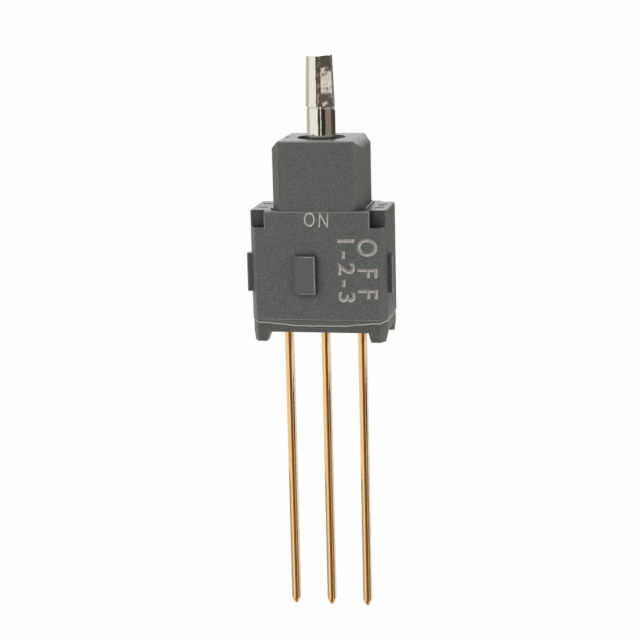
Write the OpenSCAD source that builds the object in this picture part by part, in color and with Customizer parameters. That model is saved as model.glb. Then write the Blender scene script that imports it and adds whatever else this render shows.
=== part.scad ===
// Sealed ultra-miniature toggle switch, sprung to centre from both sides, with wire-wrap posts.
// Millimetres. X runs the way the lever is thrown, -Y is the front, +Z is up.
// The origin is on the board, under the middle post, where the four feet stand.

/* [Case] */
// Width of the case block
case_w = 9.25; // [9:0.05:10]
// Depth of the case block, front to back
case_d = 5.1; // [5.0:0.1:6]
// Height of the case block
case_h = 7.4; // [7.2:0.1:8.4]
// Thickness of the two end walls
end_wall = 0.85; // [0.75:0.05:0.95]
// Thickness of the front and back walls
side_wall = 0.75; // [0.65:0.05:0.8]
// Chamfer on the upright edges, across the front
case_chamfer = 0.44; // [0.2:0.02:0.6]
// Chamfer on the upright edges, along the ends
case_chamfer_y = 0.75; // [0.3:0.05:0.75]

/* [Case details] */
// Width of the step at each top corner
notch_w = 1.05; // [0.6:0.01:1.2]
// Height of the step at each top corner
notch_h = 1.1; // [0.6:0.02:1.2]
// Depth of the step at each top corner
notch_d = 0.6; // [0.2:0.05:0.7]
// Height of the locating tabs on the front and the two ends
tab_h = 2.6; // [2:0.01:3]
// Height of the tabs' lower edge above the case's lower edge
tab_rise = 1.82; // [1.2:0.01:2]
// How far the front tab stands proud
front_tab_t = 0.42; // [0.2:0.01:0.6]
// Width of the front tab
front_tab_w = 1.5; // [1:0.01:2]
// Distance of the front tab's square edge from the switch's middle
front_tab_x = 0.1; // [0:0.01:0.3]
// Length of the front tab's ramp
front_tab_ramp = 0.5; // [0.1:0.05:0.8]
// How far the end tabs stand proud
end_tab_t = 0.36; // [0.2:0.01:0.5]
// Length of the end tabs, front to back
end_tab_l = 0.65; // [0.5:0.01:1]
// Distance of the end tabs from the front face
end_tab_y = 0.8; // [0.76:0.01:1.2]
// Length of the grooves in the case's shoulders
groove_l = 0.66; // [0.4:0.01:0.8]
// Width of the grooves in the case's shoulders
groove_w = 0.28; // [0.15:0.01:0.4]
// Depth of the grooves in the case's shoulders
groove_depth = 0.35; // [0.1:0.05:0.6]
// Distance of each groove from the switch's middle plane
groove_y = 0.74; // [0.6:0.02:0.9]
// Radius of the gate mark on the right-hand shoulder
gate_r = 0.24; // [0.15:0.01:0.3]

/* [Bushing] */
// Width of the bushing
bush_w = 6.1; // [5.9:0.05:6.6]
// Depth of the bushing, front to back
bush_d = 4.9; // [4.8:0.05:5]
// Height of the bushing above the case block
bush_h = 4.65; // [4.5:0.05:5.5]
// Chamfer on the bushing's upright edges, across the front
bush_chamfer = 0.53; // [0.2:0.01:0.6]
// Chamfer on the bushing's upright edges, along the ends
bush_chamfer_y = 0.75; // [0.3:0.05:0.8]
// Chamfer along the top edges at the bushing's two ends
bush_top_chamfer = 0.53; // [0.2:0.01:0.7]
// Width of the room inside the bushing
bush_room_w = 4.4; // [4.2:0.1:4.6]

/* [Base] */
// Height of the feet
foot_h = 0.65; // [0.4:0.05:1]
// Width of a foot where it joins the base
foot_w = 1.2; // [0.8:0.05:1.5]
// Length of a foot, front to back
foot_l = 1.15; // [0.8:0.05:1.5]
// How much each foot narrows towards the board
foot_draft = 0.18; // [0.05:0.01:0.3]
// Height of the base's rim between the feet and the case
rim_h = 0.82; // [0.7:0.02:1.1]
// How far the rim lies inside the case's faces
rim_inset = 0.05; // [0.02:0.01:0.1]
// Height of the base's plug inside the case
plug_h = 1.9; // [1.7:0.05:2.2]
// Clearance round the plug
plug_gap = 0.02; // [0.01:0.01:0.05]
// Depth of the adhesive in the joint
seam_d = 0.25; // [0.15:0.01:0.35]
// Height of the adhesive at the middle of the front
seam_h = 0.38; // [0.2:0.02:0.5]
// Height of the adhesive at the two ends
seam_end = 0.08; // [0.04:0.02:0.14]
// How far the potting's face lies inside the base's lower face
potting_sink = 0.1; // [0:0.05:0.2]
// Thickness of the potting
potting_t = 0.45; // [0.3:0.05:0.6]
// Width of the potting beside and in front of the outer posts
potting_edge = 0.72; // [0.4:0.02:0.8]

/* [Terminals] */
// Distance between the posts
pitch = 2.54; // [2.5:0.01:2.6]
// Side of the square posts
post_t = 0.54; // [0.45:0.01:0.64]
// Length of the posts below the board
post_len = 19.4; // [3:0.1:22]
// Length of the taper at a post's tip
tip_len = 0.35; // [0.1:0.05:0.6]
// Width of the folded seam along a post
fold_w = 0.16; // [0.04:0.01:0.18]
// Depth of the folded seam along a post
fold_d = 0.13; // [0.05:0.01:0.2]
// How far the folded seam lies right of the post's middle
fold_x = 0.05; // [0:0.01:0.08]
// Width of the outer contact heads
head_w = 1.3; // [1.1:0.05:1.4]
// Depth of the contact heads, front to back
head_l = 1.5; // [1:0.05:1.8]
// Thickness of the contact heads
head_t = 0.3; // [0.2:0.02:0.4]
// Thickness of the contact plates on the heads
plate_t = 0.12; // [0.08:0.01:0.2]

/* [Lever] */
// Radius of the lever where it leaves the bushing
lever_r = 0.98; // [0.85:0.01:1]
// Radius at the foot of the lever's tapered upper length
taper_r = 1.03; // [0.9:0.01:1.1]
// Radius of the lever's top end
lever_top_r = 0.92; // [0.7:0.01:0.95]
// Height of the lever above the bushing
lever_h = 5.5; // [4:0.05:9]
// Height of the plain lower length above the bushing
lever_plain_h = 2.02; // [1.5:0.02:2.2]
// Direction of the first flat, in degrees round from the front to the right
flat_a = 38; // [20:1:60]
// Depth of the first flat
flat_a_d = 0.09; // [0.05:0.01:0.15]
// Direction of the second flat, in degrees round from the front to the right
flat_b = 93; // [70:1:120]
// Depth of the second flat
flat_b_d = 0.14; // [0.05:0.01:0.2]
// Radius of the ball that the lever turns on
ball_r = 1.35; // [1.3:0.01:1.38]
// Depth of the ball's centre below the bushing's top
pivot_drop = 2.3; // [2.25:0.05:2.5]
// Distance from the ball's centre to the lower end's centre
arm_len = 4.6; // [4.4:0.05:4.7]
// Radius of the lever's lower end
tail_r = 0.5; // [0.45:0.01:0.55]
// Throw of the lever to each side, in degrees
throw = 12.5; // [8:0.5:13]

/* [Pivot and seal] */
// Radius of the pivot pin
pin_r = 0.25; // [0.15:0.01:0.3]
// How far the pin reaches into each bushing wall
pin_bite = 0.25; // [0.1:0.01:0.3]
// Running clearance of the ball and the pin
run_gap = 0.02; // [0.01:0.005:0.04]
// Outer radius of the seal
seal_r = 1.75; // [1.65:0.01:1.78]
// Height of the seal
seal_h = 0.39; // [0.25:0.01:0.4]
// Height of the retainer under the pin
retainer_h = 1.9; // [1.6:0.05:2.1]

/* [Contact carrier] */
// Half the length of the carrier
carrier_half = 1.6; // [1.55:0.01:1.65]
// Sliding clearance round the carrier
slide_gap = 0.05; // [0.02:0.01:0.08]
// Radius of the spigots that hold the return springs
spigot_r = 0.33; // [0.2:0.01:0.36]
// Length of the spigots
spigot_l = 0.4; // [0.2:0.01:0.45]
// Thickness of the carrier's end walls
carrier_wall = 0.12; // [0.1:0.01:0.15]
// Height of the room under the carrier
carrier_room_h = 1.35; // [1.2:0.01:1.45]

/* [Contacts and springs] */
// Distance of each contact bar from the blade's middle
bar_x = 1.33; // [1.25:0.01:1.35]
// Radius of the contact bars
bar_r = 0.1; // [0.06:0.01:0.12]
// Thickness of the blade
blade_t = 0.12; // [0.08:0.01:0.16]
// Width of the blade, front to back
blade_w = 1.4; // [1:0.05:1.8]
// Mean radius of the return springs
coil_r = 0.47; // [0.44:0.01:0.52]
// Wire radius of the return springs
wire_r = 0.07; // [0.05:0.005:0.08]
// Turns in a return spring
coil_turns = 4; // [3:0.5:5]
// Mean radius of the contact spring
press_r = 0.42; // [0.38:0.01:0.5]
// Wire radius of the contact spring
press_wire_r = 0.06; // [0.04:0.005:0.07]
// Turns in the contact spring
press_turns = 3; // [2:0.5:4]

/* [Hidden] */
$fn = 96;
spill = 1;            // how far a cutter runs past the face it cuts
full_turn = 360;

moulding = [0.36, 0.37, 0.36];
resin = [0.42, 0.43, 0.42];
gold = [0.86, 0.68, 0.36];
nickel = [0.80, 0.79, 0.77];
rubber = [0.10, 0.10, 0.10];
acetal = [0.88, 0.87, 0.82];
steel = [0.62, 0.63, 0.65];

stem_r = 0.62;        // the stem's radius inside the ball

// Levels, from the board up
case_z0 = foot_h + rim_h;
case_z1 = case_z0 + case_h;
bush_z1 = case_z1 + bush_h;
floor_z = case_z0 + plug_h;
pivot_z = bush_z1 - pivot_drop;
tail_z = pivot_z - arm_len;
lever_z1 = bush_z1 + lever_h;

// Corner chamfers, across the front and along the ends
case_corner = [case_chamfer, case_chamfer_y];
bush_corner = [bush_chamfer, bush_chamfer_y];
rim_corner = inset_corner(case_corner, rim_inset);

// The middle of each shoulder beside the bushing
groove_x = (case_w / 2 + bush_w / 2) / 2 + 0.14;

// The room for the mechanism
room_w = case_w - 2 * end_wall;
room_d = case_d - 2 * side_wall;
roof_t = notch_h + 0.15;
room_z1 = case_z1 - roof_t;

// The seal sits above the pin, the hole above the seal clears the thrown lever
seal_z0 = pivot_z + pin_r + run_gap;
seal_z1 = seal_z0 + seal_h;
mouth_gap = 0.12;
function lever_reach(h) = h * tan(throw) + lever_r / cos(throw) + mouth_gap;

// The carrier moves with the lever's lower end
travel = arm_len * sin(throw);
carrier_z0 = floor_z + slide_gap;
carrier_z1 = room_z1 - slide_gap;
carrier_d = room_d - 2 * slide_gap;
carrier_room_w = 2 * (carrier_half - carrier_wall);
carrier_room_d = blade_w + 2 * slide_gap;
carrier_roof = carrier_z0 + carrier_room_h;
tail_gap = 0.03;
slot_half = tail_r + tail_gap;
slot_floor = tail_z - tail_r - 0.12;
slot_d = 3 * tail_r;
coil_z = carrier_roof + coil_r - 0.05;
boss_l = 0.25;        // the boss that centres the contact spring

// The cheeks on the base that hold the springs' outer ends
plug_w = room_w - 2 * plug_gap;
plug_d = room_d - 2 * plug_gap;
cheek_t = 0.4;
cheek_pocket = 0.18;
cheek_z1 = coil_z + coil_r + 0.45;
coil_end_x = plug_w / 2 - cheek_t + cheek_pocket;

// Contacts
contact_z = floor_z;
centre_head_w = head_w + 0.2;
blade_z = contact_z + run_gap + bar_r;

// A rectangle whose corners are cut by corner = [across X, along Y]
function chamfered(w, d, corner) = let (x = w / 2, y = d / 2, cx = corner.x, cy = corner.y) [
    [-x + cx, -y], [x - cx, -y], [x, -y + cy], [x, y - cy],
    [x - cx, y], [-x + cx, y], [-x, y - cy], [-x, -y + cy]];

// The chamfer of an outline that lies a distance inside another
function inset_corner(corner, by) = let (slant = norm(corner))
    [corner.x - by + by * (slant - corner.x) / corner.y,
     corner.y - by + by * (slant - corner.y) / corner.x];

module block(w, d, corner, z0, z1)
    translate([0, 0, z0]) linear_extrude(z1 - z0) polygon(chamfered(w, d, corner));

// A plain box, centred on Z, between two levels
module slab(w, d, z0, z1)
    translate([-w / 2, -d / 2, z0]) cube([w, d, z1 - z0]);

module four_corners()
    for (sx = [0, 1], sy = [0, 1]) mirror([sx, 0, 0]) mirror([0, sy, 0]) children();

module both_ends() { children(); mirror([1, 0, 0]) children(); }

// A profile drawn in X and Z, given its thickness along Y
module along_y(d)
    rotate([90, 0, 0]) linear_extrude(d, center = true) children();

// A coil spring round +Z, from z = 0 to the given length, swept as one closed tube
module coil(r, wire, turns, len) {
    steps = 16;
    sides = 8;
    rings = ceil(turns * steps);
    rise = (len - 2 * wire) / turns / full_turn;
    slope = atan(rise * full_turn / (2 * PI * r));
    function rim(i, j) = let (a = i * turns * full_turn / rings, b = j * full_turn / sides)
        [(r + wire * cos(b)) * cos(a) + wire * sin(b) * sin(slope) * sin(a),
         (r + wire * cos(b)) * sin(a) - wire * sin(b) * sin(slope) * cos(a),
         wire + a * rise + wire * sin(b) * cos(slope)];
    points = [for (i = [0:rings], j = [0:sides - 1]) rim(i, j)];
    skin = [for (i = [0:rings - 1], j = [0:sides - 1])
        [i * sides + j, i * sides + (j + 1) % sides,
         (i + 1) * sides + (j + 1) % sides, (i + 1) * sides + j]];
    start = [for (j = [0:sides - 1]) sides - 1 - j];
    end = [for (j = [0:sides - 1]) rings * sides + j];
    polyhedron(points = points, faces = concat([start], skin, [end]));
}

// CASE

// A wedge on the front, with a ramp at its left and a square edge at its right
module front_tab()
    translate([-front_tab_x - front_tab_w, -case_d / 2, case_z0 + tab_rise]) linear_extrude(tab_h)
        polygon([[0, 0], [front_tab_ramp, -front_tab_t], [front_tab_w, -front_tab_t],
                 [front_tab_w, 0.1], [0, 0.1]]);

// A short upright rib on each end, set back behind the chamfer
module end_tabs() both_ends()
    translate([case_w / 2 - 0.1, -case_d / 2 + end_tab_y, case_z0 + tab_rise])
        cube([end_tab_t + 0.1, end_tab_l, tab_h]);

module bushing() intersection() {
    block(bush_w, bush_d, bush_corner, room_z1, bush_z1);
    c = bush_top_chamfer;
    along_y(bush_d) polygon([
        [-bush_w / 2, room_z1], [bush_w / 2, room_z1], [bush_w / 2, bush_z1 - c],
        [bush_w / 2 - c, bush_z1], [-bush_w / 2 + c, bush_z1], [-bush_w / 2, bush_z1 - c]]);
}

// A low ledge round the bushing's foot at both ends
module plinth()
    block(bush_w + 0.4, bush_d - 0.1, bush_corner, case_z1 - 0.1, case_z1 + 0.12);

// Room for the outer heads where the end walls stand close to them, open below for the base
module head_room()
    slab(2 * (pitch + plug_gap) + head_w, head_l + 2 * plug_gap, case_z0 - spill,
         contact_z + plug_gap);

// Steps at the four top corners
module corner_steps() four_corners()
    translate([case_w / 2 - notch_w, case_d / 2 - notch_d, case_z1 - notch_h])
        cube([notch_w + spill, notch_d + spill, notch_h + spill]);

// Two short grooves across each shoulder
module shoulder_grooves() four_corners()
    translate([groove_x - groove_l / 2, groove_y - groove_w / 2, case_z1 - groove_depth])
        cube([groove_l, groove_w, groove_depth + spill]);

// The shallow ring that the mould's gate leaves on the right-hand shoulder
module gate_ring() translate([groove_x, 0, case_z1 - 0.06]) difference() {
    cylinder(h = spill, r = gate_r);
    cylinder(h = 0.06, r = gate_r * 0.6);
}

// The tapered hole that the lever swings in, the seat of the seal and the pin's channels
module lever_hole() {
    top = bush_z1 - pivot_z;
    low = seal_z1 - pivot_z;
    translate([0, 0, seal_z1])
        cylinder(h = top - low, r1 = lever_reach(low), r2 = lever_reach(top));
    translate([0, 0, bush_z1]) cylinder(h = spill, r = lever_reach(top));
    translate([0, 0, seal_z0 - spill]) cylinder(h = seal_h + spill, r = seal_r);
    slab(bush_room_w, room_d, room_z1 - spill, seal_z0);
    pin_channels();
}

// Channels in the front and back walls, open below, so that the pin goes in from under the case
module pin_channels() {
    half = pin_r + run_gap / 2;
    reach = room_d + 2 * pin_bite;
    slab(2 * half, reach, case_z0 - spill, pivot_z);
    translate([0, 0, pivot_z]) rotate([90, 0, 0]) cylinder(h = reach, r = half, center = true);
}

module key_slot()
    translate([-bush_w / 2 - spill, -0.18, bush_z1 - 0.35])
        cube([bush_top_chamfer + 0.35 + spill, 0.36, 0.35 + spill]);

module case() color(moulding) difference() {
    union() {
        block(case_w, case_d, case_corner, case_z0, case_z1);
        bushing();
        plinth();
        front_tab();
        end_tabs();
    }
    slab(room_w, room_d, case_z0 - spill, room_z1);
    head_room();
    lever_hole();
    corner_steps();
    shoulder_grooves();
    gate_ring();
    key_slot();
}

// BASE

// Where the joint's adhesive lies: a ring that hangs lowest in the middle of the front and back
module seam_space() {
    rim_w = case_w - 2 * rim_inset;
    rim_d = case_d - 2 * rim_inset;
    half = rim_w / 2;
    sag = seam_h - seam_end;
    arc_r = (half * half + sag * sag) / (2 * sag);
    intersection() {
        difference() {
            block(rim_w, rim_d, rim_corner, case_z0 - seam_h, case_z0);
            block(rim_w - 2 * seam_d, rim_d - 2 * seam_d, inset_corner(rim_corner, seam_d),
                  case_z0 - spill, case_z0 + spill);
        }
        translate([0, 0, case_z0 - seam_h + arc_r]) rotate([90, 0, 0])
            cylinder(h = case_d, r = arc_r, center = true, $fn = 720);
    }
}

// A corner foot, drawn in so that it narrows downwards
module foot() {
    corner_x = case_w / 2 - rim_inset;
    corner_y = case_d / 2 - rim_inset;
    inner_x = corner_x - foot_w;
    inner_y = corner_y - foot_l;
    top = foot_h + 0.1;
    intersection() {
        block(2 * corner_x, 2 * corner_y, rim_corner, 0, top);
        along_y(case_d) polygon([
            [inner_x, top], [inner_x + 0.05, foot_h - 0.2], [inner_x + foot_draft, 0],
            [corner_x - 0.12, 0], [corner_x, foot_h], [corner_x, top]]);
        rotate(90) along_y(2 * case_w) polygon([
            [inner_y, top], [inner_y + 0.1, foot_h - 0.2], [inner_y + 2 * foot_draft, 0],
            [corner_y - 0.03, 0], [corner_y, foot_h], [corner_y, top]]);
    }
}

// An upright cheek with a round-bottomed pocket for the outer end of a spring
module cheek() difference() {
    translate([plug_w / 2 - cheek_t, -plug_d / 2 + 0.3, floor_z - 0.1])
        cube([cheek_t, plug_d - 0.6, cheek_z1 - floor_z + 0.1]);
    hold = coil_r + wire_r + 0.04;
    translate([coil_end_x - cheek_pocket - spill, 0, coil_z]) rotate([0, 90, 0])
        cylinder(h = cheek_pocket + spill, r = hold);
    translate([coil_end_x - cheek_pocket - spill, -hold, coil_z])
        cube([cheek_pocket + spill, 2 * hold, cheek_z1]);
}

potting_z0 = foot_h + potting_sink;
potting_z1 = potting_z0 + potting_t;
potting_w = 2 * pitch + post_t + 2 * potting_edge;
potting_d = post_t + 2 * potting_edge;

module base() color(moulding) difference() {
    union() {
        block(case_w - 2 * rim_inset, case_d - 2 * rim_inset, rim_corner, foot_h, case_z0);
        four_corners() foot();
        slab(plug_w, plug_d, case_z0 - 0.1, floor_z);
        both_ends() cheek();
    }
    seam_space();
    slab(potting_w, potting_d, foot_h - spill, potting_z1);
    for (k = [-1:1]) terminal_solid(k);
    for (k = [-1:1]) plate(k);
}

module seam_resin() color(resin) seam_space();

module potting_resin() color(resin) difference() {
    slab(potting_w, potting_d, potting_z0, potting_z1);
    for (k = [-1:1]) translate([k * pitch, 0, 0]) slab(post_t, post_t, 0, 2 * potting_z1);
}

// TERMINALS

function head_width(k) = k == 0 ? centre_head_w : head_w;

// The post's section is a strip folded in two, so a seam runs down its front
function post_section() = let (h = post_t / 2, s = fold_w / 2) [
    [-h, -h], [fold_x - s, -h], [fold_x, -h + fold_d], [fold_x + s, -h], [h, -h], [h, h], [-h, h]];

module terminal_solid(k) translate([k * pitch, 0, 0]) {
    head_z1 = contact_z - plate_t;
    slab(head_width(k), head_l, head_z1 - head_t, head_z1);
    slab(post_t, post_t, potting_z0, head_z1 - head_t + 0.05);
    intersection() {
        translate([0, 0, -post_len]) linear_extrude(post_len + potting_z0) polygon(post_section());
        post_tip_envelope();
    }
}

// A square bar that narrows to a blunt point at the post's lower end
module post_tip_envelope() {
    blunt = post_t / 4;
    h = post_t / 2;
    outline = [[-h, potting_z0], [-h, -post_len + tip_len], [-blunt, -post_len],
               [blunt, -post_len], [h, -post_len + tip_len], [h, potting_z0]];
    intersection() {
        along_y(post_t) polygon(outline);
        rotate(90) along_y(post_t) polygon(outline);
    }
}

module plate(k) translate([k * pitch, 0, 0])
    slab(head_width(k), head_l, contact_z - plate_t, contact_z);

module terminal_left() color(gold) terminal_solid(-1);
module terminal_centre() color(gold) terminal_solid(0);
module terminal_right() color(gold) terminal_solid(1);
module fixed_contact_left() color(gold) plate(-1);
module fixed_contact_centre() color(gold) plate(0);
module fixed_contact_right() color(gold) plate(1);

// LEVER

taper_z0 = bush_z1 + lever_plain_h;
taper_z1 = lever_z1 - 0.07;

// Half outline of the lever above its ball: radius against height
module lever_outline() {
    edge = lever_z1 - taper_z1;
    step = 0.04;
    polygon([[0, pivot_z], [lever_r, pivot_z], [lever_r, taper_z0 - step],
             [lever_r - step, taper_z0], [lever_r - step, taper_z0 + step],
             [taper_r, taper_z0 + 2.5 * step], [lever_top_r, taper_z1],
             [lever_top_r - edge, lever_z1], [0, lever_z1]]);
}

// A flat that follows the taper, its lower end standing drop below the taper's foot
module lever_flat(angle, depth, drop) {
    far = 2 * taper_r;
    slope = (taper_r - lever_top_r) / (taper_z1 - taper_z0);
    high = lever_z1 + spill;
    rotate(angle) rotate([90, 0, 90]) linear_extrude(far, center = true) polygon([
        [depth - taper_r - slope * drop, taper_z0 - drop], [-far, taper_z0 - drop],
        [-far, high], [depth - taper_r + slope * (high - taper_z0), high]]);
}

// The stem narrows towards the lower end, which is a ball
module lever_stem() {
    neck_r = tail_r * 0.68;
    neck_l = tail_r * 2.4;
    translate([0, 0, tail_z]) sphere(tail_r);
    translate([0, 0, tail_z]) cylinder(h = neck_l, r = neck_r);
    translate([0, 0, tail_z + neck_l])
        cylinder(h = arm_len - neck_l - ball_r / 2, r1 = neck_r, r2 = stem_r);
}

module lever() color(nickel) difference() {
    union() {
        rotate_extrude() lever_outline();
        translate([0, 0, pivot_z]) sphere(ball_r);
        lever_stem();
    }
    lever_flat(flat_a, flat_a_d, -0.06);
    lever_flat(flat_b, flat_b_d, 0.16);
    translate([0, 0, pivot_z]) rotate([90, 0, 0])
        cylinder(h = 4 * ball_r, r = pin_r + run_gap, center = true);
}

// PIVOT AND SEAL

module pivot_pin() color(steel) translate([0, 0, pivot_z]) rotate([90, 0, 0])
    cylinder(h = room_d + 2 * pin_bite - 0.04, r = pin_r, center = true);

module lever_seal() color(rubber) difference() {
    translate([0, 0, seal_z0]) cylinder(h = seal_h, r = seal_r);
    translate([0, 0, pivot_z]) sphere(ball_r + run_gap);
}

module lever_retainer() color(acetal) {
    z0 = pivot_z - retainer_h;
    swing = lever_reach(retainer_h) - lever_r + stem_r;
    difference() {
        slab(bush_room_w, room_d, z0, pivot_z);
        translate([0, 0, pivot_z]) sphere(ball_r + run_gap);
        slab(2 * swing, slot_d, z0 - spill, pivot_z);
        translate([0, 0, pivot_z]) rotate([90, 0, 0])
            cylinder(h = room_d + spill, r = pin_r + run_gap / 2, center = true);
    }
}

// CONTACT CARRIER AND CONTACTS

module carrier_slot() along_y(slot_d) polygon([
    [-slot_half, slot_floor], [slot_half, slot_floor], [slot_half, tail_z + 0.4],
    [slot_half + 0.25, carrier_z1 + 0.01], [-slot_half - 0.25, carrier_z1 + 0.01],
    [-slot_half, tail_z + 0.4]]);

module contact_carrier() color(acetal) {
    difference() {
        slab(2 * carrier_half, carrier_d, carrier_z0, carrier_z1);
        slab(carrier_room_w, carrier_room_d, carrier_z0 - spill, carrier_roof);
        carrier_slot();
    }
    both_ends() translate([carrier_half - 0.05, 0, coil_z]) rotate([0, 90, 0])
        cylinder(h = spigot_l + 0.05, r = spigot_r);
    translate([0, 0, carrier_roof - boss_l])
        cylinder(h = boss_l + 0.05, r = press_r - press_wire_r - 0.04);
}

module contact_blade() color(gold)
    slab(2 * (bar_x + bar_r), blade_w, blade_z, blade_z + blade_t);

// A half-round bar across the blade's underside
module crossbar(x) color(gold) intersection() {
    translate([x, 0, blade_z]) rotate([90, 0, 0]) cylinder(h = blade_w, r = bar_r, center = true);
    translate([x, 0, 0]) slab(2 * bar_r, blade_w, blade_z - bar_r, blade_z);
}

module crossbar_left() crossbar(-bar_x);
module crossbar_right() crossbar(bar_x);

module contact_spring() color(steel) translate([0, 0, blade_z + blade_t])
    coil(press_r, press_wire_r, press_turns, carrier_roof - blade_z - blade_t);

module return_spring(side) color(steel)
    mirror([side < 0 ? 1 : 0, 0, 0]) translate([carrier_half, 0, coil_z]) rotate([0, 90, 0])
        coil(coil_r, wire_r, coil_turns, coil_end_x - carrier_half);

module return_spring_left() return_spring(-1);
module return_spring_right() return_spring(1);

case();
base();
terminal_left();
terminal_centre();
terminal_right();
fixed_contact_left();
fixed_contact_centre();
fixed_contact_right();
seam_resin();
potting_resin();
lever();
lever_seal();
pivot_pin();
lever_retainer();
contact_carrier();
contact_blade();
crossbar_left();
crossbar_right();
contact_spring();
return_spring_left();
return_spring_right();
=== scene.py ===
"""Looks, stage and camera for a sealed ultra-miniature toggle switch."""

import math

import bmesh
import bpy
from mathutils import Matrix, Vector
from mathutils.bvhtree import BVHTree


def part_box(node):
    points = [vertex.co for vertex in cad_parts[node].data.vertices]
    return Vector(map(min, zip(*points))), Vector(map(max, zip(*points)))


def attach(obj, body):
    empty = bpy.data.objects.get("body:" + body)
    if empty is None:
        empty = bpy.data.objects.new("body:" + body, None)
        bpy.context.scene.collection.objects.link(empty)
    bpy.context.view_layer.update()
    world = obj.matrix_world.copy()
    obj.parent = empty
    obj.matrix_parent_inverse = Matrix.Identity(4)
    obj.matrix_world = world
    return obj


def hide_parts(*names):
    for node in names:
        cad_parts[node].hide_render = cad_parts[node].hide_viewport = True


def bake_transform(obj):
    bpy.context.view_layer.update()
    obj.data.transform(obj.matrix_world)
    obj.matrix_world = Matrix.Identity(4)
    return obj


bl_info = {
    "name": "Miniature toggle switch",
    "version": (1, 0, 0),
    "blender": (4, 5, 0),
    "location": "3D View > Sidebar > Switch",
    "description": "Dresses the packed switch and sets its stage",
    "category": "Object",
}

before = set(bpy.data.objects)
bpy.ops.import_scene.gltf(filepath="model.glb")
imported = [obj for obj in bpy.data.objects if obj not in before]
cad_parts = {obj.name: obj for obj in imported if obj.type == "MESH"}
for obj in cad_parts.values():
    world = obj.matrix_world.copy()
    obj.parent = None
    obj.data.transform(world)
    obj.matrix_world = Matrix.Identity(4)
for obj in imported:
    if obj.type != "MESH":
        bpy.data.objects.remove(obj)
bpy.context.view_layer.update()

MM = 0.001


def box_mm(node):
    """Lowest and highest corner of a CAD node, in millimetres."""
    low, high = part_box(node)
    return Vector(low) / MM, Vector(high) / MM


# Places in millimetres that the pieces below are set from. The base's rim stands back from the
# block by the inset, so the block's own faces are found without its tabs.
RIM_INSET = 0.05
BASE_LOW, BASE_HIGH = box_mm("base")
FRONT = BASE_LOW.y - RIM_INSET
HALF_WIDTH = BASE_HIGH.x + RIM_INSET
BUSHING_HEIGHT = 4.65
SHOULDER = box_mm("case")[1].z - BUSHING_HEIGHT
POSTS_END = box_mm("terminal_centre")[0].z
# Size of the notches in the block's upper corners: across, in depth and in height
NOTCH = Vector((1.05, 0.6, 1.1))
# How far the block's upright corners are cut off: across and in depth
CORNER = Vector((0.44, 0.75))
# Slack for telling on which side of a plane something lies
HAIR = 0.02


# Settings


def length_mm(name, description, default, low, high):
    """A length in millimetres that the panel shows."""
    return bpy.props.FloatProperty(
        name=name + ", mm", description=description, default=default, min=low, max=high,
        precision=3
    )


def hex_colour(name, description, default):
    """An sRGB colour written as RRGGBB."""
    return bpy.props.StringProperty(name=name, description=description, default=default, maxlen=6)


class SwitchColours(bpy.types.PropertyGroup):
    moulding: hex_colour("Case", "Grey of the case's moulding", "5E615E")
    # Painted highlight: this paler grey on the rounded edges stands in for the light that they
    # catch
    highlit: hex_colour("Rubbed edges", "Paler grey along the moulding's edges", "868983")
    # Painted shade: this darker grey on the notches' walls and the end tabs' fronts stands in for
    # the shade that falls there
    smooth: hex_colour("Smooth faces", "Dark grey of the notches and the end tabs", "434543")
    # The base's warmer grey is its own tone, and is set darker in part as painted shade for the rim
    # under the case
    base: hex_colour("Base", "Slightly darker and warmer grey of the base's moulding", "575752")
    resin: hex_colour("Resin", "Grey of the cured adhesive", "626360")
    # Painted highlight: this pale grey of the bead stands in for the light along its lower edge
    bead_highlight: hex_colour("Resin's edge", "Paler grey where the adhesive thins out", "BDBEB9")
    nickel: hex_colour("Nickel", "Tint of the plating on the lever", "E6E1DA")
    gold: hex_colour("Gold", "Tint of the plating on the posts", "EBC693")
    rubber: hex_colour("Rubber", "Colour of the seal", "1B1B1C")
    acetal: hex_colour("Acetal", "Colour of the inner mouldings", "E6E3D8")
    steel: hex_colour("Steel", "Tint of springs and pin", "B9BBBE")
    # Painted shade: the posts' fold gets this darker gold for the shade in the seam
    seam: hex_colour("Seam", "Colour of the gold deep in the posts' fold", "A8844F")
    mark: hex_colour("Mark", "Pale tone that the laser leaves on the moulding", "C4C1BC")
    mark_core: hex_colour("Mark's core", "Duller tone in the middle of broad strokes", "9E948D")
    floor: hex_colour("Floor", "Colour of the floor and backdrop", "FFFFFF")


class SwitchSizes(bpy.types.PropertyGroup):
    edge: length_mm("Moulded edge", "Radius of the mould's worn edges", 0.08, 0.01, 0.1)
    post_edge: length_mm("Post shoulder", "Radius of the folded posts' shoulders", 0.12, 0.02, 0.13)
    bead: length_mm("Resin bead", "Radius of the adhesive's raised lower edge", 0.045, 0.01, 0.05)
    grit: length_mm("Mould grit", "Grain size of the matt mould finish", 0.09, 0.02, 0.3)
    corner: length_mm("Corner shade", "How far inner corners are darker", 0.9, 0.1, 2)


class CameraPlace(bpy.types.PropertyGroup):
    azimuth: bpy.props.FloatProperty(
        name="Azimuth", description="From the front round to the right", default=11.08,
        min=-180, max=180,
    )
    elevation: bpy.props.FloatProperty(
        name="Elevation", description="Above the horizon", default=11.88, min=-90, max=90
    )
    roll: bpy.props.FloatProperty(
        name="Roll", description="Turn of the picture", default=-1.39, min=-45, max=45
    )
    distance: length_mm("Distance", "From the aim point to the camera", 135.73, 50, 500)
    aim_height: length_mm("Aim height", "Height of the aim point above the board", 5.47, -30, 30)
    shift_x: length_mm("Shift across", "Camera's shift across its view", -0.28, -20, 20)
    shift_y: length_mm("Shift up", "Camera's shift up its view", -4.39, -20, 20)
    lens: length_mm("Focal length", "On a 36 mm wide sensor", 112.5, 20, 300)


# Materials


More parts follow.
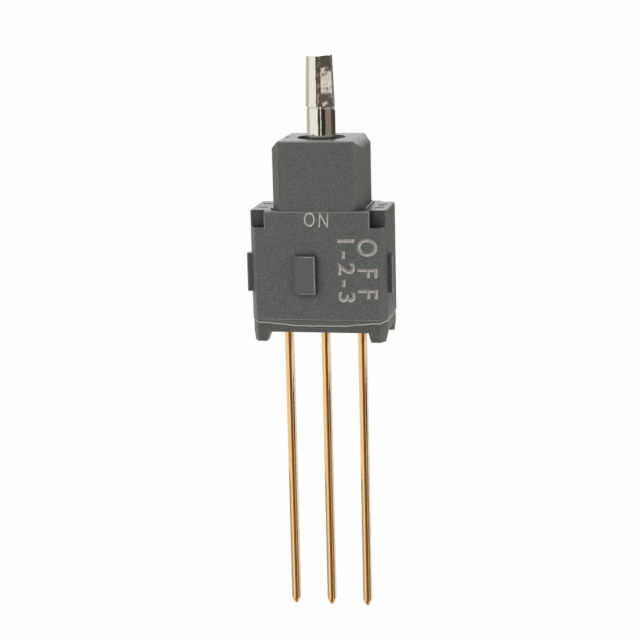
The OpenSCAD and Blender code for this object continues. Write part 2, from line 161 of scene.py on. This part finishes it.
def linear(code):
    """RRGGBB, an sRGB colour, as linear RGBA."""
    def channel(pair):
        value = int(pair, 16) / 255
        return value / 12.92 if value <= 0.04045 else ((value + 0.055) / 1.055) ** 2.4
    return tuple(channel(code[i:i + 2]) for i in (0, 2, 4)) + (1.0,)


def shade(code, factor):
    """A lighter or darker tone of a colour."""
    r, g, b, a = linear(code)
    return tuple(min(1.0, c * factor) for c in (r, g, b)) + (a,)


# Sockets of a Mix node that mixes colours. They share their names with its other sockets, so
# they go by number.
MIX_A, MIX_B, MIX_RESULT = 6, 7, 2


def add_node(tree, kind, settings=None, **links):
    """Adds one shader node. Settings are attributes, and links are the sockets that get a value
    or another node's output."""
    node = tree.nodes.new(kind)
    for key, value in (settings or {}).items():
        setattr(node, key, value)
    for key, value in links.items():
        socket = node.inputs[key.replace("_", " ")]
        if isinstance(value, bpy.types.NodeSocket):
            tree.links.new(value, socket)
        else:
            socket.default_value = value
    return node


def new_material(name, code, roughness, metallic=0.0, **sockets):
    """A Principled material with its colour and gloss set on the shader itself."""
    material = bpy.data.materials.new(name)
    material.use_nodes = True
    shader = material.node_tree.nodes["Principled BSDF"]
    shader.inputs["Base Color"].default_value = linear(code)
    shader.inputs["Roughness"].default_value = roughness
    shader.inputs["Metallic"].default_value = metallic
    for key, value in sockets.items():
        shader.inputs[key.replace("_", " ")].default_value = value
    material.diffuse_color = linear(code)
    return material, material.node_tree, shader


def speckled_resin(name, code, grit_mm, corner_mm, alone):
    """A matt filled resin with a fine speckle and a bump of the same grain, darker in inner
    corners as painted shade. Where alone is set, neighbouring pieces don't cast that painted shade
    on it."""
    speckle_depth = 0.3
    bump_mm = 0.005
    material, tree, shader = new_material(name, code, 0.38, IOR=1.52)
    place = add_node(tree, "ShaderNodeTexCoord").outputs["Object"]
    grain = add_node(tree, "ShaderNodeTexNoise", Vector=place, Scale=1 / (grit_mm * MM),
                     Detail=1.0, Roughness=0.6)
    speckle = add_node(tree, "ShaderNodeMapRange", Value=grain.outputs["Fac"],
                       From_Min=0.3, From_Max=0.7)
    tone = add_node(tree, "ShaderNodeMix", {"data_type": "RGBA"})
    tree.links.new(speckle.outputs["Result"], tone.inputs["Factor"])
    tone.inputs[MIX_A].default_value = shade(code, 1 - speckle_depth)
    tone.inputs[MIX_B].default_value = shade(code, 1 + speckle_depth)
    # Painted shade: ambient occlusion darkens the colour in inner corners
    painted_corner_shade = add_node(tree, "ShaderNodeAmbientOcclusion", {"samples": 8, "only_local": alone},
                    Distance=corner_mm * MM)
    open_face = add_node(tree, "ShaderNodeMapRange", Value=painted_corner_shade.outputs["AO"],
                         From_Min=0.4, From_Max=0.95, To_Min=0.2, To_Max=1.0)
    darkened = add_node(tree, "ShaderNodeMix", {"data_type": "RGBA", "blend_type": "MULTIPLY"},
                        Factor=1.0)
    tree.links.new(tone.outputs[MIX_RESULT], darkened.inputs[MIX_A])
    tree.links.new(open_face.outputs["Result"], darkened.inputs[MIX_B])
    tree.links.new(darkened.outputs[MIX_RESULT], shader.inputs["Base Color"])
    bump = add_node(tree, "ShaderNodeBump", Strength=0.2, Distance=bump_mm * MM,
                    Height=grain.outputs["Fac"])
    tree.links.new(bump.outputs["Normal"], shader.inputs["Normal"])
    return material


def moulded_polyester(where, code, alone):
    """Glass-filled polyester, moulded: an even mid grey. The spark-eroded mould leaves it matt,
    with a grain of about 0.04 mm, and the glass fibres near the skin speckle it. Both are drawn
    about twice as coarse as they are, so that they show. Inner corners are darker, as painted
    shade."""
    return speckled_resin("glass-filled polyester, " + where, code, sizes().grit, sizes().corner,
                          alone)


def cured_epoxy():
    """Epoxy adhesive with a mineral filler, run into the joint and cured: as matt and speckled
    as the moulding beside it, a little paler, and dark only close to the case, as painted shade."""
    corner_mm = 0.3
    return speckled_resin("epoxy, cured", colours().resin, sizes().grit, corner_mm, alone=False)


def plated_metal(name, code, roughness, wave_mm, wave_height_mm, mark_mm):
    """Bright plating over turned or rolled brass: mirror-like, so that reflections show how the
    metal under it wavers, with fine marks along its length, drawn about twice as coarse as
    real."""
    mark_depth_mm = 0.0025
    material, tree, shader = new_material(name, code, roughness, metallic=1.0)
    place = add_node(tree, "ShaderNodeTexCoord").outputs["Object"]
    waves = add_node(tree, "ShaderNodeTexNoise", Vector=place, Scale=1 / (wave_mm * MM),
                     Detail=1.0, Roughness=0.4)
    stretch = add_node(tree, "ShaderNodeMapping", Vector=place, Scale=(1.0, 1.0, 0.25))
    marks = add_node(tree, "ShaderNodeTexNoise", Vector=stretch.outputs["Vector"],
                     Scale=1 / (mark_mm * MM), Detail=3.0, Roughness=0.6)
    gloss = add_node(tree, "ShaderNodeMapRange", Value=marks.outputs["Fac"], From_Min=0.3,
                     From_Max=0.7, To_Min=0.6 * roughness, To_Max=1.5 * roughness)
    tree.links.new(gloss.outputs["Result"], shader.inputs["Roughness"])
    wavering = add_node(tree, "ShaderNodeBump", Strength=1.0, Distance=wave_height_mm * MM,
                        Height=waves.outputs["Fac"])
    scored = add_node(tree, "ShaderNodeBump", Strength=1.0, Distance=mark_depth_mm * MM,
                      Height=marks.outputs["Fac"], Normal=wavering.outputs["Normal"])
    tree.links.new(scored.outputs["Normal"], shader.inputs["Normal"])
    return material


def laser_mark(name, code):
    """Moulding that a laser has foamed pale: matt, with darker burnt spots along its strokes."""
    spot_mm = 0.12
    material, tree, shader = new_material(name, code, 0.7, IOR=1.52)
    place = add_node(tree, "ShaderNodeTexCoord").outputs["Object"]
    spots = add_node(tree, "ShaderNodeTexNoise", Vector=place, Scale=1 / (spot_mm * MM),
                     Detail=2.0)
    burnt = add_node(tree, "ShaderNodeMapRange", Value=spots.outputs["Fac"],
                     From_Min=0.35, From_Max=0.6)
    tone = add_node(tree, "ShaderNodeMix", {"data_type": "RGBA"})
    tree.links.new(burnt.outputs["Result"], tone.inputs["Factor"])
    tone.inputs[MIX_A].default_value = shade(code, 0.7)
    tone.inputs[MIX_B].default_value = shade(code, 1.08)
    tree.links.new(tone.outputs[MIX_RESULT], shader.inputs["Base Color"])
    return material


def plain(name, code, roughness, **sockets):
    """An even finish, for pieces that hardly show."""
    return new_material(name, code, roughness, **sockets)[0]


def drawn_steel():
    """Spring steel, drawn to wire: bright, and blurred a little by the die's fine lines."""
    name = "spring steel, drawn"
    return bpy.data.materials.get(name) or plain(name, colours().steel, 0.25, Metallic=1.0)


def colours():
    return bpy.context.scene.switch_colours


def sizes():
    return bpy.context.scene.switch_sizes


def dress(node, material):
    """Gives a CAD node its material."""
    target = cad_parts[node]
    target.data.materials.clear()
    target.data.materials.append(material)
    return target


def own_copy(node, name):
    """A piece with a CAD node's form, which it stands for, to be worked on further."""
    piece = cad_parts[node].copy()
    piece.data = piece.data.copy()
    piece.parent = None
    for key in list(piece.keys()):
        del piece[key]
    piece.name = name
    piece.data.materials.clear()
    bpy.context.scene.collection.objects.link(piece)
    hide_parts(node)
    return piece


def whole_faces(mesh, seam_mm=0.001, flat=0.6):
    """The mesh with its seams closed and one face to a plane, ready for work on its edges.
    Faces that meet within flat degrees are one plane."""
    form = bmesh.new()
    form.from_mesh(mesh)
    bmesh.ops.remove_doubles(form, verts=form.verts, dist=seam_mm * MM)
    bmesh.ops.dissolve_limit(form, angle_limit=math.radians(flat), verts=form.verts,
                             edges=form.edges)
    return form


def shade_evenly(form, piece, sharp=35):
    """Puts the worked form back and shades it smooth, except over edges that turn more than
    sharp degrees."""
    bmesh.ops.triangulate(form, faces=form.faces)
    for face in form.faces:
        face.smooth = True
    form.to_mesh(piece.data)
    form.free()
    if "custom_normal" in piece.data.attributes:
        piece.data.attributes.remove(piece.data.attributes["custom_normal"])
    piece.data.set_sharp_from_angle(angle=math.radians(sharp))
    normals = piece.modifiers.new("even shading", "WEIGHTED_NORMAL")
    normals.keep_sharp = True


def round_and_highlight_edges(form, radius_mm, highlit, upright_mm=0.5, level_mm=1.0, least=65, steep=0.7):
    """Rounds a moulding's outer edges, as the mould and handling do, and gives them the material
    in the slot highlit, a paler grey that is painted highlight. Only edges that lie open, turn more
    than least degrees and are longer than upright_mm or level_mm wear. An edge is upright where
    steep or more of its length is rise."""
    skin = BVHTree.FromBMesh(form)
    worn = []
    for edge in form.edges:
        if len(edge.link_faces) != 2 or not edge.is_convex:
            continue
        start, end = (vert.co for vert in edge.verts)
        upright = abs(start.z - end.z) > steep * edge.calc_length()
        shortest = upright_mm if upright else level_mm
        outward = (edge.link_faces[0].normal + edge.link_faces[1].normal).normalized()
        lies_open = skin.ray_cast((start + end) / 2 + outward * HAIR * MM, outward)[0] is None
        if (lies_open and edge.calc_length() > shortest * MM
                and edge.calc_face_angle() > math.radians(least)):
            worn.append(edge)
    bmesh.ops.bevel(form, geom=worn, offset=radius_mm * MM, segments=2, profile=0.5,
                    affect="EDGES", clamp_overlap=True, material=highlit)


def gets_painted_shade(face):
    """True for the walls of the corner notches and the front faces of the end tabs, which get a
    darker grey as painted shade for the shade that falls there. Front and back, and left and
    right, are treated alike."""
    x, y, z = (abs(value) for value in face.calc_center_median() / MM)
    in_notch = (HALF_WIDTH - NOTCH.x - HAIR < x < HALF_WIDTH - HAIR
                and -FRONT - NOTCH.y - HAIR < y < -FRONT - HAIR
                and SHOULDER - NOTCH.z - HAIR < z < SHOULDER - HAIR)
    faces_front = face.normal.y < -0.9
    return in_notch or (x > HALF_WIDTH + HAIR and faces_front)


# Pieces


class DressHousing(bpy.types.Operator):
    """Case and base in matt grey moulding with worn edges, painted paler as highlight"""

    bl_idname = "switch.dress_housing"
    bl_label = "Case and base"

    def execute(self, context):
        # Slots of the finishes, after the common one: the pale edges are painted highlight, and the
        # dark notches and end tabs painted shade
        highlit, smooth = 1, 2
        for node, code in (("case", colours().moulding), ("base", colours().base)):
            moulding = own_copy(node, "moulded_" + node)
            # The case overhangs the base and paints its corner shade on it, but not the other way
            # round
            alone = node == "case"
            finishes = moulding.data.materials
            finishes.append(moulded_polyester(node, code, alone))
            # Painted highlight: the rounded edges get a paler grey
            finishes.append(moulded_polyester(node + ", rubbed edges", colours().highlit, alone))
            form = whole_faces(moulding.data)
            if node == "case":
                # Painted shade: a darker grey on the notches' walls and the end tabs' fronts
                finishes.append(moulded_polyester("smooth", colours().smooth, alone))
                for face in form.faces:
                    face.material_index = smooth if gets_painted_shade(face) else 0
            round_and_highlight_edges(form, sizes().edge, highlit)
            shade_evenly(form, moulding)
            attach(moulding, "housing")
        return {"FINISHED"}


class DressResin(bpy.types.Operator):
    """Cured adhesive in the joint and under the base"""

    bl_idname = "switch.dress_resin"
    bl_label = "Resin"

    def execute(self, context):
        resin = cured_epoxy()
        for node in ("seam_resin", "potting_resin"):
            dress(node, resin)
        return {"FINISHED"}


class DressLever(bpy.types.Operator):
    """The plated lever"""

    bl_idname = "switch.dress_lever"
    bl_label = "Lever"

    def execute(self, context):
        nickel = plated_metal("bright nickel on turned brass", colours().nickel, roughness=0.035,
                              wave_mm=0.9, wave_height_mm=0.009, mark_mm=0.12)
        dress("lever", nickel)
        return {"FINISHED"}


class FoldPosts(bpy.types.Operator):
    """The gold-plated posts, folded from strip, with round shoulders and a dark seam"""

    bl_idname = "switch.fold_posts"
    bl_label = "Posts"

    def execute(self, context):
        gold = plated_metal("gold on folded brass strip", colours().gold, roughness=0.16,
                            wave_mm=0.5, wave_height_mm=0.01, mark_mm=0.1)
        # The fold gets a darker, duller gold, as painted shade for the dark seam
        seam = plain("gold, dull in the fold", colours().seam, 0.45, Metallic=1.0)
        for side in ("left", "centre", "right"):
            post = own_copy("terminal_" + side, "post_" + side)
            post.data.materials.append(gold)
            post.data.materials.append(seam)
            self.round_shoulders(post)
            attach(post, "housing")
        for node in ("fixed_contact_left", "fixed_contact_centre", "fixed_contact_right",
                     "contact_blade", "crossbar_left", "crossbar_right"):
            dress(node, gold)
        return {"FINISHED"}

    def round_shoulders(self, post):
        """Rounds the four long corners and the tip's, and gives the fold a darker gold as painted
        shade. Only what lies below the resin is worked. The corners stand on the diagonals of the
        post's square, and the fold's edges near its middle."""
        resin_end = box_mm("potting_resin")[0].z * MM
        shortest_rise, off_diagonal = 0.2 * MM, 0.01 * MM
        fold_x, fold_y = 0.1 * MM, 0.2 * MM
        # Slot of the fold's painted shade
        seam = 1
        form = whole_faces(post.data)
        across = [vert.co.x for vert in form.verts]
        middle = (min(across) + max(across)) / 2
        shoulders = []
        for edge in form.edges:
            a, b = (vert.co for vert in edge.verts)
            below = max(a.z, b.z) < resin_end
            rises = abs(a.z - b.z) > shortest_rise
            if not (below and rises):
                continue
            if all(abs(abs(p.x - middle) - abs(p.y)) < off_diagonal for p in (a, b)):
                shoulders.append(edge)
            elif abs(a.x - middle) < fold_x and abs(a.y) < fold_y:
                for face in edge.link_faces:
                    face.material_index = seam
        bmesh.ops.bevel(form, geom=shoulders, offset=sizes().post_edge * MM, segments=5,
                        profile=0.5, affect="EDGES", clamp_overlap=True)
        shade_evenly(form, post)


class DressInside(bpy.types.Operator):
    """Seal, pin, retainer, carrier and contact spring"""

    bl_idname = "switch.dress_inside"
    bl_label = "Inner pieces"

    def execute(self, context):
        # Moulded rubber is near black and scatters light evenly
        rubber = plain("silicone rubber, moulded", colours().rubber, 0.6)
        # Acetal comes from a polished mould white and slightly waxy
        acetal = plain("acetal, moulded", colours().acetal, 0.4, IOR=1.48)
        finishes = {"lever_seal": rubber, "pivot_pin": drawn_steel(),
                    "contact_spring": drawn_steel(), "lever_retainer": acetal,
                    "contact_carrier": acetal}
        for node, finish in finishes.items():
            dress(node, finish)
        return {"FINISHED"}


class WindReturnSprings(bpy.types.Operator):
    """The two return springs, which stretch between the carrier and the base"""

    bl_idname = "switch.wind_return_springs"
    bl_label = "Return springs"

    def execute(self, context):
        for side in ("left", "right"):
            node = "return_spring_" + side
            wound = own_copy(node, "wound_spring_" + side)
            wound.data.materials.append(drawn_steel())
            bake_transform(wound)
        return {"FINISHED"}


# Marks on the front: piece, words, corner of its first letter, height, length, turn, how much
# its strokes are thickened, and the spacing of its letters, in millimetres and degrees.
# The corner is across the front and above the board. Turned marks read downwards.
MARKS = (
    ("mark_on", "ON", -0.85, 7.86, 0.97, 1.64, -3, 0.0, 1.3),
    ("mark_off", "OFF", 2.72, 7.05, 1.30, 4.0, -90, 0.03, 1.9),
    ("mark_places", "1-2-3", 1.39, 7.03, 1.10, 4.22, -90, 0.03, 1.25),
)
# How far a mark stands out of the front
PROUD = 0.004


def close_strokes(mesh):
    """Joins doubled points of the lettering and turns all its faces outward."""
    form = bmesh.new()
    form.from_mesh(mesh)
    bmesh.ops.remove_doubles(form, verts=form.verts, dist=PROUD / 2 * MM)
    bmesh.ops.recalc_face_normals(form, faces=form.faces)
    form.to_mesh(mesh)
    form.free()


def lettering(name, words, height, length, weight, spread, proud, material):
    """Flat lettering as a mesh, drawn in X and Y from the origin and fitted to its height and
    length. Weight thickens its strokes and spread sets its letters apart."""
    curve = bpy.data.curves.new(name, "FONT")
    curve.body = words
    curve.space_character = spread
    curve.resolution_u = 6
    curve.extrude = proud / 2
    drawn = bpy.data.objects.new(name, curve)
    bpy.context.scene.collection.objects.link(drawn)
    bpy.context.view_layer.update()
    across, up = drawn.dimensions.x, drawn.dimensions.y
    curve.offset = weight * up / height
    bpy.context.view_layer.update()
    mesh = bpy.data.meshes.new_from_object(
        drawn.evaluated_get(bpy.context.evaluated_depsgraph_get()))
    bpy.data.objects.remove(drawn)
    left = min(v.co.x for v in mesh.vertices)
    foot = min(v.co.y for v in mesh.vertices)
    mesh.transform(Matrix.Translation((-left, -foot, 0)))
    mesh.transform(Matrix.Diagonal((length / across * MM, height / up * MM, MM, 1)))
    close_strokes(mesh)
    mesh.materials.clear()
    mesh.materials.append(material)
    mark = bpy.data.objects.new(name, mesh)
    bpy.context.scene.collection.objects.link(mark)
    return mark


class BurnMarks(bpy.types.Operator):
    """Plain ON, OFF and position numbers, burnt pale into the front by a laser"""

    bl_idname = "switch.burn_marks"
    bl_label = "Marks"

    def execute(self, context):
        pale = laser_mark("moulding, foamed pale by a laser", colours().mark)
        core = laser_mark("moulding, burnt by a laser", colours().mark_core)
        for name, words, x, z, height, length, turn, weight, spread in MARKS:
            onto_front = (Matrix.Translation(Vector((x, FRONT, z)) * MM)
                          @ Matrix.Rotation(math.radians(-turn), 4, "Y")
                          @ Matrix.Rotation(math.radians(90), 4, "X"))
            layers = [(name, weight, PROUD, pale)]
            if weight:
                layers.append((name + "_core", -weight, 2 * PROUD, core))
            for piece, stroke, proud, material in layers:
                mark = lettering(piece, words, height, length, stroke, spread, proud, material)
                mark.data.transform(onto_front)
                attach(mark, "housing")
        return {"FINISHED"}


# Waves of the bead's lower edge: height in millimetres, radians per millimetre and start
RIPPLES = ((0.018, 2.1, 0.4), (0.012, 5.3, 1.7))


class LayBead(bpy.types.Operator):
    """The adhesive's raised and slightly wavy lower edge, all round the rim"""

    bl_idname = "switch.lay_bead"
    bl_label = "Resin bead"

    def execute(self, context):
        bead = self.sweep("resin_bead", list(self.path()), sizes().bead)
        # The bead is paler and glossier: its pale grey is painted highlight along the adhesive's
        # lower edge
        edge = plain("epoxy, thin edge", colours().bead_highlight, 0.3, IOR=1.55)
        bead.data.materials.append(edge)
        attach(bead, "housing")
        return {"FINISHED"}

    def path(self, under_case=0.08, step=0.08):
        """Points round the rim, and which way is out at each. The bead hangs lowest in the
        middle of the front and back, and at the ends it stays under_case below the case."""
        low, high = box_mm("seam_resin")
        cut_x, cut_y = high.x - CORNER.x, high.y - CORNER.y
        corners = [Vector((x, y, 0)) for x, y in (
            (-cut_x, -high.y), (cut_x, -high.y), (high.x, -cut_y), (high.x, cut_y),
            (cut_x, high.y), (-cut_x, high.y), (-high.x, cut_y), (-high.x, -cut_y))]
        sag = high.z - low.z - under_case
        for start, end in zip(corners, corners[1:] + corners[:1]):
            side = end - start
            out = Vector((side.y, -side.x, 0)).normalized()
            count = max(1, round(side.length / step))
            for k in range(count):
                spot = start + side * k / count
                run = spot.x + spot.y
                ripple = sum(height * math.sin(pace * run + begin)
                             for height, pace, begin in RIPPLES)
                spot.z = low.z + sag * (spot.x / high.x) ** 2 + ripple
                yield spot, out

    def sweep(self, name, path, radius, sides=8):
        """A closed tube along the path."""
        verts, faces = [], []
        for spot, out in path:
            for j in range(sides):
                turn = 2 * math.pi * j / sides
                rim = out * math.cos(turn) + Vector((0, 0, math.sin(turn)))
                verts.append((spot + rim * radius) * MM)
        for k in range(len(path)):
            after = (k + 1) % len(path)
            for j in range(sides):
                n = (j + 1) % sides
                faces.append((k * sides + j, after * sides + j, after * sides + n,
                              k * sides + n))
        mesh = bpy.data.meshes.new(name)
        mesh.from_pydata(verts, [], faces)
        mesh.shade_smooth()
        bead = bpy.data.objects.new(name, mesh)
        bpy.context.scene.collection.objects.link(bead)
        return bead


# Stage


def softbox(name, place, towards, width, height, power, reflected):
    """A rectangular lamp with even soft light. Unless it is reflected, gloss and metal don't show
    it, because the cards are there for them."""
    lamp = bpy.data.lights.new(name, "AREA")
    lamp.shape = "RECTANGLE"
    lamp.size = width
    lamp.size_y = height
    lamp.energy = power
    box = bpy.data.objects.new(name, lamp)
    bpy.context.scene.collection.objects.link(box)
    box.location = place
    box.rotation_mode = "QUATERNION"
    box.rotation_quaternion = (Vector(towards) - Vector(place)).to_track_quat("-Z", "Y")
    box.visible_camera = False
    box.visible_glossy = reflected
    return box


def to_viewer(tree):
    """One where the camera, a reflection or a refraction looks, nought where light falls."""
    path = add_node(tree, "ShaderNodeLightPath")
    seen = path.outputs["Is Camera Ray"]
    for ray in ("Is Glossy Ray", "Is Transmission Ray"):
        either = add_node(tree, "ShaderNodeMath", {"operation": "MAXIMUM"})
        tree.links.new(seen, either.inputs[0])
        tree.links.new(path.outputs[ray], either.inputs[1])
        seen = either.outputs[0]
    return seen


def set_world(fill):
    """Plain white surroundings, which light the switch only with the strength of fill."""
    world = bpy.data.worlds.new("studio")
    bpy.context.scene.world = world
    world.use_nodes = True
    tree = world.node_tree
    tree.nodes.clear()
    strength = add_node(tree, "ShaderNodeMapRange", Value=to_viewer(tree), To_Min=fill, To_Max=1.0)
    back = add_node(tree, "ShaderNodeBackground", Color=(1.0, 1.0, 1.0, 1.0),
                    Strength=strength.outputs["Result"])
    out = add_node(tree, "ShaderNodeOutputWorld")
    tree.links.new(back.outputs["Background"], out.inputs["Surface"])


def glow(name, code):
    """Card that shows in reflections with its written colour."""
    material = bpy.data.materials.new(name)
    material.use_nodes = True
    tree = material.node_tree
    tree.nodes.clear()
    shine = add_node(tree, "ShaderNodeEmission", Color=linear(code), Strength=1.0)
    out = add_node(tree, "ShaderNodeOutputMaterial")
    tree.links.new(shine.outputs["Emission"], out.inputs["Surface"])
    return material


def reflection_card(name, start, end, low_mm, high_mm, code):
    """An upright curved card round the switch, between two bearings in degrees from the front
    round to the right. Only reflections see it."""
    degrees_a_step = 3
    steps = max(2, round((end - start) / degrees_a_step))
    rim = [math.radians(start + (end - start) * k / steps) for k in range(steps + 1)]
    points = [Vector((CARD_RADIUS * math.sin(bearing), -CARD_RADIUS * math.cos(bearing), z)) * MM
              for bearing in rim for z in (low_mm, high_mm)]
    faces = [(2 * k, 2 * k + 2, 2 * k + 3, 2 * k + 1) for k in range(steps)]
    mesh = bpy.data.meshes.new(name)
    mesh.from_pydata(points, [], faces)
    mesh.materials.append(glow(name, code))
    card = bpy.data.objects.new(name, mesh)
    bpy.context.scene.collection.objects.link(card)
    card.visible_camera = False
    card.visible_diffuse = False
    card.visible_shadow = False
    card.visible_transmission = False
    return card


CARD_RADIUS = 110
# Cards round the switch, for the metal to reflect: bearings in degrees, levels in mm and colour.
# The posts see the lowest, the lever's lower end the middle ones and its flats the highest.
# The flag at the right back is what the moulding's right side shows, which is seen at a slant.
CARDS = (
    ("card_post_front", -10, -3, -80, -8, "57534A"),
    ("card_post_right", 16, 44, -80, -8, "57534A"),
    ("card_post_warm", 44, 100, -80, -8, "A49C96"),
    ("card_flag_front", -14, 6, -8, 10, "4B473F"),
    ("card_flag_right_front", 12, 46, -8, 10, "37342D"),
    ("card_warm_right", 46, 100, -8, 10, "8E867F"),
    ("card_flag_right_back", 100, 176, -23, 70, "4E4A42"),
    ("card_warm_left_back", 224, 272, -80, 22, "CDC6C1"),
    ("card_flag_high", -24, 100, 14.75, 30, "59554C"),
    ("card_grey_front", -24, 30, 13.1, 14.75, "8C837C"),
    ("card_cream_right", 30, 100, 12.9, 14.75, "F4EEE4"),
    ("card_flag_middle", -24, 100, 10, 12.9, "5F574E"),
)


# Soft lamps round the switch: place in metres, width, height, watts and whether gloss shows it
LAMPS = (
    ("left", (-0.17, -0.18, 0.08), 0.20, 0.20, 0.27, False),
    ("right", (0.25, -0.07, 0.06), 0.18, 0.18, 0.45, False),
    ("top", (0.0, 0.04, 0.26), 0.2, 0.2, 0.14, False),
    ("back", (0.03, 0.25, 0.06), 0.3, 0.08, 0.08, True),
)
LIT_POINT = (0.0, 0.0, 0.004)


class SetStage(bpy.types.Operator):
    """Floor, soft light, surroundings, reflection cards and camera"""

    bl_idname = "switch.set_stage"
    bl_label = "Stage"

    def execute(self, context):
        self.lay_floor(context)
        set_world(fill=0.22)
        for name, start, end, low, high, code in CARDS:
            reflection_card(name, start, end, low, high, code)
        for name, place, width, height, power, reflected in LAMPS:
            softbox(name, place, LIT_POINT, width, height, power, reflected)
        self.place_camera(context)
        return {"FINISHED"}

    def lay_floor(self, context):
        """A wide white floor at the posts' ends. To the camera it is nearly its written colour,
        and the small share of lit paper in it keeps the switch's shadow."""
        half = 2.0
        paper_grey = 0.7
        written_share = 0.98
        level = POSTS_END * MM
        mesh = bpy.data.meshes.new("floor")
        mesh.from_pydata([(-half, -half, level), (half, -half, level), (half, half, level),
                          (-half, half, level)], [], [(0, 1, 2, 3)])
        floor = bpy.data.objects.new("floor", mesh)
        context.scene.collection.objects.link(floor)
        material = bpy.data.materials.new("paper, matt white")
        material.use_nodes = True
        tree = material.node_tree
        tree.nodes.clear()
        paper = add_node(tree, "ShaderNodeBsdfDiffuse", Color=(paper_grey,) * 3 + (1.0,))
        white = add_node(tree, "ShaderNodeEmission", Color=linear(colours().floor), Strength=1.0)
        both = add_node(tree, "ShaderNodeMixShader", Fac=written_share)
        tree.links.new(paper.outputs["BSDF"], both.inputs[1])
        tree.links.new(white.outputs["Emission"], both.inputs[2])
        blend = add_node(tree, "ShaderNodeMixShader", Fac=to_viewer(tree))
        tree.links.new(paper.outputs["BSDF"], blend.inputs[1])
        tree.links.new(both.outputs["Shader"], blend.inputs[2])
        out = add_node(tree, "ShaderNodeOutputMaterial")
        tree.links.new(blend.outputs["Shader"], out.inputs["Surface"])
        mesh.materials.append(material)
        floor.visible_glossy = False

    def place_camera(self, context):
        """The camera's view, from its bearing, height and roll about the aim point."""
        place = context.scene.camera_place
        azimuth, elevation = math.radians(place.azimuth), math.radians(place.elevation)
        roll = math.radians(place.roll)
        forward = Vector((-math.sin(azimuth) * math.cos(elevation),
                          math.cos(azimuth) * math.cos(elevation), -math.sin(elevation)))
        right = Vector((math.cos(azimuth), math.sin(azimuth), 0))
        up = right.cross(forward)
        right, up = (math.cos(roll) * right + math.sin(roll) * up,
                     math.cos(roll) * up - math.sin(roll) * right)
        aim_point = Vector((0, 0, place.aim_height))
        spot = aim_point - forward * place.distance + right * place.shift_x + up * place.shift_y
        lens = bpy.data.cameras.new("camera")
        lens.sensor_width = 36
        lens.lens = place.lens
        lens.clip_start = 0.005
        lens.clip_end = 10
        camera = bpy.data.objects.new("camera", lens)
        context.scene.collection.objects.link(camera)
        camera.matrix_world = Matrix.Translation(spot * MM) @ Matrix(
            (right, up, -forward)).transposed().to_4x4()
        context.scene.camera = camera


class SwitchPanel(bpy.types.Panel):
    bl_idname = "VIEW3D_PT_switch"
    bl_label = "Miniature toggle switch"
    bl_space_type = "VIEW_3D"
    bl_region_type = "UI"
    bl_category = "Switch"

    def draw(self, context):
        for group in (context.scene.switch_colours, context.scene.switch_sizes,
                      context.scene.camera_place):
            box = self.layout.box()
            for name in group.__annotations__:
                box.prop(group, name)
        for operator in PIECES:
            self.layout.operator(operator.bl_idname)


PIECES = (DressHousing, DressResin, DressLever, FoldPosts, DressInside, WindReturnSprings,
          BurnMarks, LayBead, SetStage)
GROUPS = {"switch_colours": SwitchColours, "switch_sizes": SwitchSizes,
          "camera_place": CameraPlace}


def register():
    for group in GROUPS.values():
        bpy.utils.register_class(group)
    for name, group in GROUPS.items():
        setattr(bpy.types.Scene, name, bpy.props.PointerProperty(type=group))
    for operator in PIECES:
        bpy.utils.register_class(operator)
    bpy.utils.register_class(SwitchPanel)


def unregister():
    bpy.utils.unregister_class(SwitchPanel)
    for operator in reversed(PIECES):
        bpy.utils.unregister_class(operator)
    for name in GROUPS:
        delattr(bpy.types.Scene, name)
    for group in reversed(list(GROUPS.values())):
        bpy.utils.unregister_class(group)


def main():
    register()
    bpy.context.scene.view_settings.view_transform = "Standard"
    bpy.ops.switch.dress_housing()
    bpy.ops.switch.dress_resin()
    bpy.ops.switch.dress_lever()
    bpy.ops.switch.fold_posts()
    bpy.ops.switch.dress_inside()
    bpy.ops.switch.wind_return_springs()
    bpy.ops.switch.burn_marks()
    bpy.ops.switch.lay_bead()
    bpy.ops.switch.set_stage()


if __name__ == "__main__":
    main()
